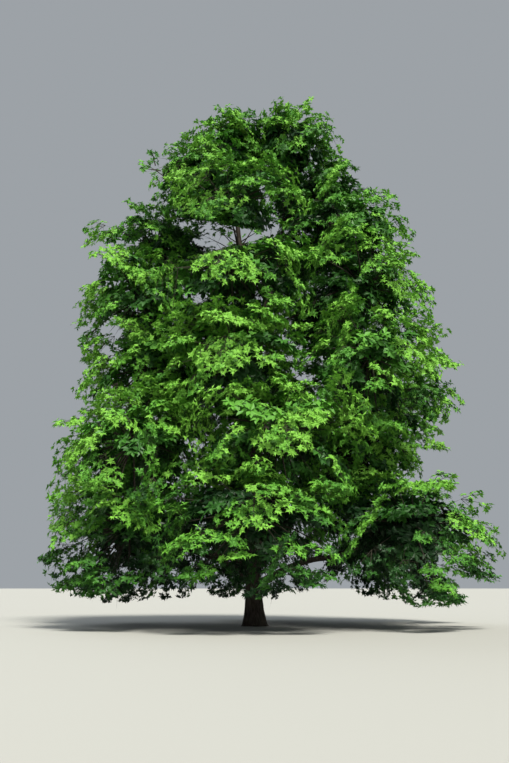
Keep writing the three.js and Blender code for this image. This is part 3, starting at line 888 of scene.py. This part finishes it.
fan = along_limb(FAN, trunk_at, fan_way)
leader_side = along_limb(
    LEADER_SPRAYS, lambda z: limb_at(limbs["second_leader"], z)[0], leader_way)

draw = np.random.default_rng(1907)
spray_sets, branch_sets = [], []
for number, mass in enumerate(masses):
    grown = [sprays_of(mass, number, order, draw) for order in range(len(RANKS))]
    for made, branches in [*grown, apron_of(mass, number, draw)]:
        spray_sets.append(made)
        branch_sets.append(branches)
spray_sets.append(loose_sprays("high_foliage_1", 1, *fan, TO_THE_FRONT))
spray_sets.append(loose_sprays("shoulder_foliage_left", 1, *SPRIG, TO_THE_FRONT))
spray_sets.append(loose_sprays("top_foliage_right", 0, *leader_side, TO_THE_LIGHT))
sprays = stacked(spray_sets)
branches = [np.concatenate([made[k] for made in branch_sets]) for k in range(3)]
print(len(sprays["root"]), "sprays on", len(branches[0]), "branches")

# %% [markdown]
# Oak leaves crowd in stars, or rosettes, at the ends of the side twigs of a spray, which sags
# under its own weight. A rosette that would leave the mass's space, touch a limb or stand in a
# gap of sky is left out, with its twig. Only the sprays that stand clear of the masses may grow
# into the gaps.

# %% Rosettes on the sprays
HALF_WIDTH = 0.37  # of a spray's length, at its widest
WIDEST = 0.56
WIDTHS = [0.25, 1, 0.3]  # at the root, where it is widest, and at the tip
END_SLOTS = [(1.0, 0.0, 0.8), (0.72, 0.03, 0.6)]
FIRST_SIDE, LAST_SIDE = 0.16, 0.72
SIDE_FORWARD = 0.16
STAGGER = 0.04
SAG, SIDE_SAG = 0.10, 0.16
JITTER, JITTER_ALONG, JITTER_ACROSS = 0.035, 0.8, 1.6
STANDING = (0.03, 0.05)  # mean and spread of a rosette's height over its spray
MARGIN = 0.965  # of the space, beyond which nothing grows
SKY_GAPS = [  # pixel across, pixel down, radius in pixels, in a frame of 509 by 763
    (212, 232, 13), (230, 233, 4), (249, 240, 6), (199, 297, 8), (186, 292, 5), (244, 308, 4),
    (240, 194, 5), (228, 195, 4), (322, 201, 4), (316, 198, 3), (150, 300, 4), (128, 290, 4),
    (110, 352, 6), (380, 324, 5), (170, 289, 4), (268, 262, 3), (206, 266, 3), (146, 167, 13),
    (158, 176, 8), (163, 160, 7),
]


def spray_slots(pairs, along_pairs):
    """Places on a spray of unit length: (along, across, along at the axis), the tip first."""
    slots = list(END_SLOTS)
    for k in range(pairs):
        root = mix(FIRST_SIDE, LAST_SIDE, k / max(1, pairs - 1))
        for side in (-1, 1):
            for share in along_pairs:
                forward = root + SIDE_FORWARD * share + (STAGGER if side > 0 else 0)
                wide = np.interp(forward, [0, WIDEST, 1], WIDTHS)
                slots.append((forward, side * share * wide, root))
    return np.array(slots)


SLOTS = [spray_slots(4, (0.45, 1.0)), spray_slots(2, (0.9,)), spray_slots(2, (0.45, 1.0))]


def on_spray(root, toward, face, length, forward, sideways):
    """A point of a sagging spray."""
    across = np.cross(face, toward)
    sag = SAG * forward**2 + SIDE_SAG * np.abs(sideways) ** 1.5
    return (root + toward * (length * forward)[:, None]
            + across * (length * HALF_WIDTH * sideways)[:, None] - UP * (length * sag)[:, None])


def rosettes_of(rank, draw):
    chosen = np.flatnonzero(sprays["rank"] == rank)
    slots = SLOTS[rank]
    owner = np.repeat(chosen, len(slots))
    slot = np.tile(slots, (len(chosen), 1))
    jitter = draw.normal(0, JITTER, (len(owner), 2))
    forward = slot[:, 0] + jitter[:, 0] * JITTER_ALONG
    sideways = slot[:, 1] + jitter[:, 1] * JITTER_ACROSS
    base = [sprays[key][owner] for key in ("root", "toward", "face", "length")]
    place = on_spray(*base, forward, sideways)
    place = place + base[2] * draw.normal(*STANDING, len(owner))[:, None]
    foot = on_spray(*base, slot[:, 2], np.zeros(len(owner)))
    return dict(place=place, foot=foot, owner=owner, end=slot[:, 0] == 1.0)


def in_space(points, numbers, share, past):
    """Which points lie within a share of the space of the mass that each belongs to."""
    kept = np.zeros(len(points), bool)
    for number, mass in enumerate(masses):
        own = np.flatnonzero(numbers == number)
        offset = points[own] - mass["centre"]
        distance = np.linalg.norm(offset, axis=1)
        ways = offset / np.maximum(distance, 1e-6)[:, None]
        kept[own] = distance <= share * space_along(mass, ways, past)
    return kept


def clear_of_limbs(points, room):
    kept = np.ones(len(points), bool)
    for limb in all_limbs:
        for a, b, wide in zip(limb["points"], limb["points"][1:], limb["radii"]):
            along = np.clip((points - a) @ (b - a) / ((b - a) @ (b - a)), 0, 1)
            kept &= np.linalg.norm(points - a - along[:, None] * (b - a), axis=1) > wide + room
    return kept


def out_of_sky(points):
    """Which points keep out of the gaps, seen from the camera."""
    offset = points - EYE
    depth = offset[:, 1] * math.cos(TILT) + offset[:, 2] * math.sin(TILT)
    rise = offset[:, 2] * math.cos(TILT) - offset[:, 1] * math.sin(TILT)
    x = FRAME_WIDTH / 2 + FOCAL * offset[:, 0] / depth
    y = FRAME_HEIGHT / 2 - FOCAL * rise / depth
    kept = np.ones(len(points), bool)
    for gap_x, gap_y, radius in SKY_GAPS:
        kept &= np.hypot(x - gap_x, y - gap_y) > radius
    return kept


rosettes = stacked([rosettes_of(rank, draw) for rank in range(len(RANKS))])
numbers = sprays["mass"][rosettes["owner"]]
loose = sprays["loose"][rosettes["owner"]]
places = rosettes["place"]
kept = in_space(places, numbers, share=MARGIN, past=0.5) & out_of_sky(places) | loose
kept &= clear_of_limbs(places, room=0.08)
rosettes = {key: value[kept] for key, value in rosettes.items()}
print(len(rosettes["place"]), "rosettes of", len(kept))

# %% [markdown]
# A leaf of this oak is a long blade with pointed lobes and deep bays. Six corners give it a lobe
# on each side, a bay before it and a tip, folded along the midrib so that its halves catch the
# light differently. Four do for those deep inside, which saves faces for more leaves. The leaves
# of a rosette stand round it like spokes and hang a little.

# %% Leaves
LOBED_LEAF = (  # corners (along, across, up) and faces
    [[0, 0, 0], [1, 0, -0.10], [0.48, 0.27, 0.05], [0.60, 0.09, 0.02],
     [0.48, -0.27, 0.05], [0.60, -0.09, 0.02]],
    [[0, 3, 2], [0, 1, 3], [0, 4, 5], [0, 5, 1]])
INNER_LEAF = (
    [[0, 0, 0], [1, 0, -0.10], [0.52, 0.27, 0.05], [0.52, -0.27, 0.05]],
    [[0, 1, 2], [0, 3, 1]])
LEAF_SHAPES = [LOBED_LEAF, LOBED_LEAF, INNER_LEAF]  # by rank
LEAF_LENGTHS = [0.215, 0.215, 0.33]
LEAVES_A_ROSETTE = [6, 7, 6]
ONE_MORE = 0.3  # chance of another leaf in a rosette
ROSETTE_WAYS = (0.75, 0.55, 0.25)  # how far it faces with its spray, outwards and up
ROSETTE_TILT = SPOKE_SWING = 0.22
LIFT = (0.22, 0.26)  # mean and spread
DROOP, DROOP_RANGE = 0.30, (0.3, 1.5)
LEAF_ROLL = 0.38
LEAF_SIZES = (0.78, 1.16)
TIP_MARGIN = MARGIN + 0.02


def leaves_of(rosettes, draw):
    owner = rosettes["owner"]
    rank = sprays["rank"][owner]
    counts = np.array(LEAVES_A_ROSETTE)[rank] + (draw.random(len(owner)) < ONE_MORE)
    home = np.repeat(np.arange(len(owner)), counts)
    order = np.arange(len(home)) - np.repeat(np.cumsum(counts) - counts, counts)
    outward = unit(rosettes["place"] - rosettes["foot"])
    facing, standing, rising = ROSETTE_WAYS
    axis = sprays["face"][owner] * facing + outward * standing + UP * rising
    axis = unit(axis + draw.normal(0, ROSETTE_TILT, (len(owner), 3)))
    side = unit(np.cross(axis, outward + 1e-3))
    spin = draw.uniform(0, 2 * math.pi, len(owner))
    angle = spin[home] + 2 * math.pi * order / counts[home] + draw.normal(0, SPOKE_SWING, len(home))
    spoke = turned(side[home], axis[home], angle)
    lift = draw.normal(*LIFT, len(home))
    fall = DROOP * draw.uniform(*DROOP_RANGE, len(home))
    run = unit(spoke + axis[home] * lift[:, None] - UP * fall[:, None])
    normal = unit(axis[home] - run * (axis[home] * run).sum(-1, keepdims=True))
    normal = turned(normal, run, draw.normal(0, LEAF_ROLL, len(home)))
    length = np.array(LEAF_LENGTHS)[rank[home]] * draw.uniform(*LEAF_SIZES, len(home))
    return dict(base=rosettes["place"][home], run=run, normal=normal, length=length, home=home)


leaves = leaves_of(rosettes, draw)
tips = leaves["base"] + leaves["run"] * leaves["length"][:, None]
owner = rosettes["owner"][leaves["home"]]
kept = in_space(tips, sprays["mass"][owner], share=TIP_MARGIN, past=0.75)
kept = (kept | sprays["loose"][owner]) & clear_of_limbs(tips, room=0.03)
leaves = {key: value[kept] for key, value in leaves.items()}
print(len(leaves["base"]), "leaves of", len(kept))

# %% [markdown]
# A heavy mass hangs over the one below, and the lowest boughs of an open-grown oak come down
# until they are browsed or mown. So the lower half of each mass is let down, most of all at its
# foot, which also closes the crown between its tiers. The skirt has little room for it above the
# ground. What is already grown is only shifted.

# %% The hanging under sides
HANG = dict(skirt=0.3, low=0.8, middle=0.6, high=0.45, upper=0.2, top=0)
HANG_DEPTH = 2.2
centres = np.array([mass["centre"] for mass in masses])
outwards = np.array([mass["axes"][0] for mass in masses])
most_hang = np.array([HANG[mass["tier"]] for mass in masses])


def hung(places, numbers):
    share = np.clip((centres[numbers, 2] - places[:, 2]) / HANG_DEPTH, 0, 1)
    return places - UP * (most_hang[numbers] * share)[:, None]


numbers = sprays["mass"][rosettes["owner"]]
leaves["base"] = hung(leaves["base"], numbers[leaves["home"]])
rosettes["place"], rosettes["foot"] = (hung(rosettes[key], numbers) for key in ("place", "foot"))
print("lowest leaf starts", round(float(leaves["base"][:, 2].min()), 2), "m above the ground")

# %% [markdown]
# Young sprays at the surface are yellow-green and shade leaves deeper in are darker and bluer, but
# most of the spread of the tints is painted light and shade. Sprays deep inside, low in their mass,
# facing down and far in from the outer side get darker tints, as painted shade, and so do those
# low in the crown; sprays facing up, high in their mass and far out get lighter ones, as painted
# light. Each tint is a plain colour of its own, dealt out by spray, with the odd rosette a step
# off.

# %% Tints of the leaves
# Eight steps of one leaf green, from painted shade at the first to painted light at the last; the
# lighter ones are also yellower, as young sprays are.
TINTS = [
    (0.007, 0.034, 0.007), (0.013, 0.060, 0.009), (0.023, 0.098, 0.012), (0.038, 0.146, 0.015),
    (0.058, 0.202, 0.019), (0.084, 0.262, 0.024), (0.120, 0.330, 0.032), (0.168, 0.405, 0.044),
]
# Steps of tint by height in the crown: painted shade low down, painted light from 7 to 12.5 m, and
# a little darker at the top.
SHADE_HEIGHTS = [1.5, 4.5, 7.0, 12.5, 19, 22]
SHADE_STEPS = [-2.0, -1.3, 0.9, 0.6, -0.3, -0.5]
# By rank, in steps of tint: the mean, darker deep inside for shade leaves and as painted shade; the
# painted light that a metre higher in the mass adds; and the share of the painted shade at its
# height.
MEAN_TONES = np.array([5.3, 4.0, 0.9])
HIGHER_PAINTED_LIGHT = np.array([1.0, 1.3, 1.6])
SHADE_SHARES = np.array([1.0, 1.3, 1.3])
# Painted light: a spray facing up gets a lighter tint, one facing down a darker one.
FACE_UP_PAINTED_LIGHT = 1.1
# Painted light: sprays further out in their mass get lighter tints, those further in darker ones.
OUTER_PAINTED_LIGHT, OUTER_FROM = 0.55, 0.7
SPRAY_SPREAD, ROSETTE_SPREAD = 1.0, 0.45
END_TONE = 0.5
leaf_finishes = [
    Finish(f"leaf_green_{k + 1}", Base_Color=(*tint, 1), Roughness=0.46 + 0.02 * k,
           Specular_IOR_Level=0.28)
    for k, tint in enumerate(TINTS)
]


# A tint for each spray: painted light where it faces up, stands high and far out in its mass,
# painted shade deep inside and by height in the crown, and a random spread.
def deal_tints(draw):
    rank, owner = sprays["rank"], rosettes["owner"]
    tone = MEAN_TONES[rank] + draw.normal(0, SPRAY_SPREAD, len(rank))
    tone += FACE_UP_PAINTED_LIGHT * sprays["face"][:, 2]
    offset = sprays["root"] - centres[sprays["mass"]]
    tone += HIGHER_PAINTED_LIGHT[rank] * offset[:, 2]
    tone += OUTER_PAINTED_LIGHT * ((offset * outwards[sprays["mass"]]).sum(axis=1) - OUTER_FROM)
    tone += np.interp(sprays["root"][:, 2], SHADE_HEIGHTS, SHADE_STEPS) * SHADE_SHARES[rank]
    step = tone[owner] + draw.normal(0, ROSETTE_SPREAD, len(owner)) + END_TONE * rosettes["end"]
    return np.clip(np.round(step), 0, len(TINTS) - 1).astype(int)


rosette_tint = deal_tints(draw)
print("rosettes by tint", np.bincount(rosette_tint).tolist())

# %% [markdown]
# The leaves of one tier are one piece, so that each piece stays small enough to handle, and every
# leaf starts on the end of a twig. All the arrays of a piece go to Blender at once.

# %% Leaf pieces


def leaf_piece(tier_name):
    numbers = [k for k, mass in enumerate(masses) if mass["tier"] == tier_name]
    owner = rosettes["owner"][leaves["home"]]
    here = np.isin(sprays["mass"][owner], numbers)
    parts, choices = [], []
    for rank, (outline, outline_faces) in enumerate(LEAF_SHAPES):
        chosen = np.flatnonzero(here & (sprays["rank"][owner] == rank))
        run, normal = leaves["run"][chosen], leaves["normal"][chosen]
        frames = np.stack([run, np.cross(normal, run), normal], axis=1)
        local = np.einsum("vc,ncx->nvx", np.array(outline), frames)
        size = leaves["length"][chosen][:, None, None]
        parts.append(many(leaves["base"][chosen][:, None] + local * size, outline_faces))
        choices.append(np.repeat(rosette_tint[leaves["home"][chosen]], len(outline_faces)))
    name = f"{tier_name}_leaves"
    piece = joined_mesh(name, *joined(parts), leaf_finishes, np.concatenate(choices))
    print(piece.name, len(piece.data.polygons), "faces")
    return piece


TIER_NAMES = [tier["name"] for tier in TIERS] + ["top"]
leaf_pieces = {name: leaf_piece(name) for name in TIER_NAMES}

# %% [markdown]
# The wood of a mass is drawn last, once it is known which rosettes stand: the stem, a branch to
# each set of sprays, the axis of each spray, and a twig to each rosette. They are three-sided and
# end in a point, which is all that shows of a twig at this size.

# %% Twigs
BRANCH_RADIUS, BRANCH_ROOM = 0.045, 0.05
AXIS_RADIUS, AXIS_SHARE = 0.014, 0.97
LOOSE_RADIUS = 0.035
MIDDLE_TAPER = 0.7
STEM_SIDES = 6
SKEW = [0.31, 0.17, 0.94]  # a way that no twig runs along
THIRD_TURN = 2.0944  # radians


def three_ways(run):
    """Three ways square to each twig, a third of a turn apart."""
    across = unit(np.cross(run, SKEW))
    square = unit(np.cross(run, across))
    turns = (0, THIRD_TURN, 2 * THIRD_TURN)
    return [across * math.cos(turn) + square * math.sin(turn) for turn in turns]


def pointed_twigs(starts, ends, radius, bend):
    """Three-sided twigs from starts to ends, each drawn to a point, with a bend half way."""
    run = ends - starts
    middle = mix(starts, ends, 0.5) + UP * (bend * np.linalg.norm(run, axis=1))[:, None]
    rings = [centre + r * way for centre, r in ((starts, radius), (middle, radius * MIDDLE_TAPER))
             for way in three_ways(run)]
    around = np.concatenate([tube_faces(2, 3), [[3, 4, 6], [4, 5, 6], [5, 3, 6]]])
    return many(np.stack([*rings, ends], axis=1), around)


def spikes(starts, ends, radius):
    """The least twig there is: a three-sided spike."""
    ring = [starts + radius * way for way in three_ways(ends - starts)]
    return many(np.stack([*ring, ends], axis=1), [[0, 1, 3], [1, 2, 3], [2, 0, 3]])


def stem_tube(mass):
    line = mass["stem"]
    a, b = frames_along(line["points"], UP if mass["bough"] else BACK)
    angles = 2 * math.pi * np.arange(STEM_SIDES) / STEM_SIDES
    rings = rings_round(line["points"], line["radii"][:, None], a, b, angles)
    return rings.reshape(-1, 3), tube_faces(len(line["points"]), STEM_SIDES)


starts, ends, numbers = branches
clear = clear_of_limbs(ends, BRANCH_ROOM) & clear_of_limbs(mix(starts, ends, 0.5), BRANCH_ROOM)
starts, ends = starts[clear], hung(ends, numbers)[clear]

bearing = np.unique(rosettes["owner"])
base = [sprays[key][bearing] for key in ("root", "toward", "face", "length")]
axis_tips = on_spray(*base, np.full(len(bearing), AXIS_SHARE), np.zeros(len(bearing)))
axis_ends = [hung(places, sprays["mass"][bearing]) for places in (base[0], axis_tips)]
axis_radii = np.where(sprays["loose"][bearing], LOOSE_RADIUS, AXIS_RADIUS)[:, None]

side = ~rosettes["end"]
twig_parts = [
    *(stem_tube(mass) for mass in masses),
    pointed_twigs(starts, ends, BRANCH_RADIUS, bend=0.05),
    pointed_twigs(*axis_ends, axis_radii, bend=0.02),
    spikes(rosettes["foot"][side], rosettes["place"][side], radius=0.007),
]
twig_piece = joined_mesh("twigs", *joined(twig_parts), [twig_finish])
print("twigs", len(twig_piece.data.polygons), "faces")

# %% [markdown]
# Nothing on a tree moves on a joint, so every piece rides on the one body. The solids that each
# piece stands for are hidden, and stay behind it for collision and weight.

# %% Ride and replace
wooden = [trunk_piece, leader_piece, twig_piece, *bough_pieces.values()]
pieces = [*wooden, *leaf_pieces.values()]
for piece in pieces:
    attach(piece, "root")
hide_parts("trunk")
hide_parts("second_leader")
for name, piece in bough_pieces.items():
    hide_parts(*(mass["bough"] for mass in masses if mass["tier"] == name))
for name, piece in leaf_pieces.items():
    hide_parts(*(mass["name"] for mass in masses if mass["tier"] == name))
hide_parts(*(mass["name"] for mass in masses))
counts = [len(piece.data.polygons) for piece in pieces]
print(len(pieces), "pieces,", sum(counts), "faces, largest", max(counts))
